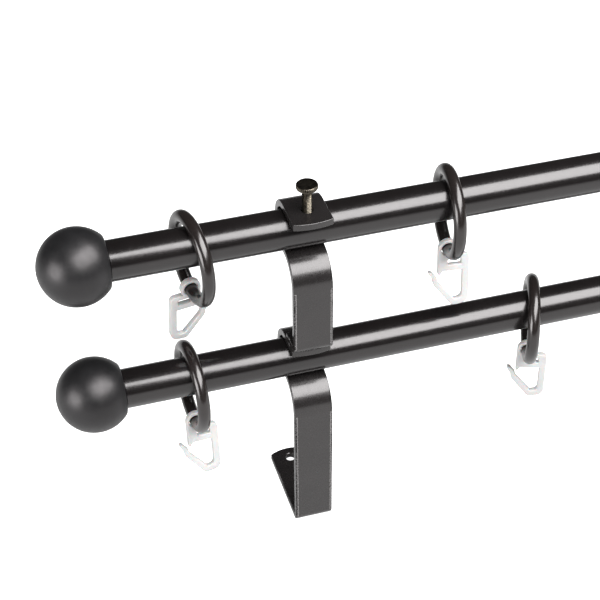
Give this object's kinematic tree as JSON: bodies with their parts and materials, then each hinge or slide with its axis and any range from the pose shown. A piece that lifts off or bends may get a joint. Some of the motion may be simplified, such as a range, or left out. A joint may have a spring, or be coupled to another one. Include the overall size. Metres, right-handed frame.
{
  "type": "double curtain rod with brackets",
  "caption": "Two parallel tubular curtain rods in flat-bar brackets, with ball finials, hanging rings and plastic pleat hooks.",
  "frame": {"origin": "on the wall plates' resting face, at mid-length of the front rod, under the plane of both rods' axes", "axes": "+X along the rods; +Z away from the wall; +Y is downwards when the set is on a wall, so the cradles open towards -Y"},
  "size_m": [1.2687, 0.059, 0.2114],
  "materials": {
    "rod": "satin black paint",
    "bar": "satin black paint",
    "ball": "satin black",
    "ring": "satin black-brown",
    "bronze": "dark burnished",
    "plug": "moulded",
    "hook": "translucent white"
  },
  "bodies": {
    "brackets": {"wall_bracket_left": "bar", "wall_bracket_right": "bar", "extension_bracket_left": "bar", "extension_bracket_right": "bar"},
    "front_rod_set": {"front_rod": "rod", "front_rod_finial_left": "ball", "front_rod_plug_left": "plug", "front_rod_finial_right": "ball", "front_rod_plug_right": "plug"},
    "front_thumb_screw_left": {"front_thumb_screw_left": "bronze"},
    "front_thumb_screw_right": {"front_thumb_screw_right": "bronze"},
    "front_ring_1": {"front_ring_1": "ring"},
    "front_hook_1": {"front_hook_1": "hook"},
    "front_ring_2": {"front_ring_2": "ring"},
    "front_hook_2": {"front_hook_2": "hook"},
    "front_ring_3": {"front_ring_3": "ring"},
    "front_hook_3": {"front_hook_3": "hook"},
    "front_ring_4": {"front_ring_4": "ring"},
    "front_hook_4": {"front_hook_4": "hook"},
    "front_ring_5": {"front_ring_5": "ring"},
    "front_hook_5": {"front_hook_5": "hook"},
    "back_rod_set": {"back_rod": "rod", "back_rod_finial_left": "ball", "back_rod_plug_left": "plug", "back_rod_finial_right": "ball", "back_rod_plug_right": "plug"},
    "back_thumb_screw_left": {"back_thumb_screw_left": "bronze"},
    "back_thumb_screw_right": {"back_thumb_screw_right": "bronze"},
    "back_ring_1": {"back_ring_1": "ring"},
    "back_hook_1": {"back_hook_1": "hook"},
    "back_ring_2": {"back_ring_2": "ring"},
    "back_hook_2": {"back_hook_2": "hook"},
    "back_ring_3": {"back_ring_3": "ring"},
    "back_hook_3": {"back_hook_3": "hook"},
    "back_ring_4": {"back_ring_4": "ring"},
    "back_hook_4": {"back_hook_4": "hook"},
    "back_ring_5": {"back_ring_5": "ring"},
    "back_hook_5": {"back_hook_5": "hook"}
  },
  "joints": [
    {"name": "front_rod_slide", "type": "slide", "parent": "brackets", "child": "front_rod_set", "axis": [1, 0, 0], "range_m": [-0.01, 0.01]},
    {"name": "front_thumb_screw_left_lift", "type": "slide", "parent": "brackets", "child": "front_thumb_screw_left", "axis": [0, 0, 1], "range_m": [0, 0.004]},
    {"name": "front_thumb_screw_right_lift", "type": "slide", "parent": "brackets", "child": "front_thumb_screw_right", "axis": [0, 0, 1], "range_m": [0, 0.004]},
    {"name": "front_ring_1_slide", "type": "slide", "parent": "front_rod_set", "child": "front_ring_1", "axis": [1, 0, 0], "range_m": [-0.03, 0.027]},
    {"name": "front_hook_1_swing", "type": "hinge", "parent": "front_ring_1", "child": "front_hook_1", "pos_m": [-0.56074, 0.00466, 0.15419], "axis": [-0.1553, 0.9803, 0.1219], "range_deg": [-70, 70]},
    {"name": "front_ring_2_slide", "type": "slide", "parent": "front_rod_set", "child": "front_ring_2", "axis": [1, 0, 0], "range_m": [-0.045, 0.43]},
    {"name": "front_hook_2_swing", "type": "hinge", "parent": "front_ring_2", "child": "front_hook_2", "pos_m": [-0.43023, -0.00218, 0.15377], "axis": [0.104, 0.9891, -0.1045], "range_deg": [-70, 70]},
    {"name": "front_ring_3_slide", "type": "slide", "parent": "front_rod_set", "child": "front_ring_3", "axis": [1, 0, 0], "range_m": [-0.4, 0.35]},
    {"name": "front_hook_3_swing", "type": "hinge", "parent": "front_ring_3", "child": "front_hook_3", "pos_m": [0.0399, 0.00109, 0.15368], "axis": [-0.087, 0.9948, 0.0523], "range_deg": [-70, 70]},
    {"name": "front_ring_4_slide", "type": "slide", "parent": "front_rod_set", "child": "front_ring_4", "axis": [1, 0, 0], "range_m": [-0.36, 0.045]},
    {"name": "front_hook_4_swing", "type": "hinge", "parent": "front_ring_4", "child": "front_hook_4", "pos_m": [0.4298, -0.00145, 0.1537], "axis": [0.1388, 0.9879, -0.0698], "range_deg": [-70, 70]},
    {"name": "front_ring_5_slide", "type": "slide", "parent": "front_rod_set", "child": "front_ring_5", "axis": [1, 0, 0], "range_m": [-0.027, 0.03]},
    {"name": "front_hook_5_swing", "type": "hinge", "parent": "front_ring_5", "child": "front_hook_5", "pos_m": [0.56005, 0.00073, 0.15366], "axis": [0.0697, 0.997, 0.0349], "range_deg": [-70, 70]},
    {"name": "back_rod_slide", "type": "slide", "parent": "brackets", "child": "back_rod_set", "axis": [1, 0, 0], "range_m": [-0.01, 0.01]},
    {"name": "back_thumb_screw_left_lift", "type": "slide", "parent": "brackets", "child": "back_thumb_screw_left", "axis": [0, 0, 1], "range_m": [0, 0.004]},
    {"name": "back_thumb_screw_right_lift", "type": "slide", "parent": "brackets", "child": "back_thumb_screw_right", "axis": [0, 0, 1], "range_m": [0, 0.004]},
    {"name": "back_ring_1_slide", "type": "slide", "parent": "back_rod_set", "child": "back_ring_1", "axis": [1, 0, 0], "range_m": [-0.027, 0.03]},
    {"name": "back_hook_1_swing", "type": "hinge", "parent": "back_ring_1", "child": "back_hook_1", "pos_m": [-0.56356, -0.00273, 0.07383], "axis": [-0.0519, 0.9901, -0.1305], "range_deg": [-70, 70]},
    {"name": "back_ring_2_slide", "type": "slide", "parent": "back_rod_set", "child": "back_ring_2", "axis": [1, 0, 0], "range_m": [-0.09, 0.3]},
    {"name": "back_hook_2_swing", "type": "hinge", "parent": "back_ring_2", "child": "back_hook_2", "pos_m": [-0.37988, 0.00034, 0.07365], "axis": [0.3338, 0.9425, 0.0175], "range_deg": [-70, 70]},
    {"name": "back_ring_3_slide", "type": "slide", "parent": "back_rod_set", "child": "back_ring_3", "axis": [1, 0, 0], "range_m": [-0.3, 0.37]},
    {"name": "back_hook_3_swing", "type": "hinge", "parent": "back_ring_3", "child": "back_hook_3", "pos_m": [-0.02982, 0.00145, 0.0737], "axis": [0.1216, 0.9901, 0.0698], "range_deg": [-70, 70]},
    {"name": "back_ring_4_slide", "type": "slide", "parent": "back_rod_set", "child": "back_ring_4", "axis": [1, 0, 0], "range_m": [-0.37, 0.08]},
    {"name": "back_hook_4_swing", "type": "hinge", "parent": "back_ring_4", "child": "back_hook_4", "pos_m": [0.39023, -0.00107, 0.07368], "axis": [-0.2076, 0.9768, -0.0523], "range_deg": [-70, 70]},
    {"name": "back_ring_5_slide", "type": "slide", "parent": "back_rod_set", "child": "back_ring_5", "axis": [1, 0, 0], "range_m": [-0.029, 0.03]},
    {"name": "back_hook_5_swing", "type": "hinge", "parent": "back_ring_5", "child": "back_hook_5", "pos_m": [0.56219, -0.00182, 0.07373], "axis": [-0.1041, 0.9907, -0.0872], "range_deg": [-70, 70]}
  ]
}
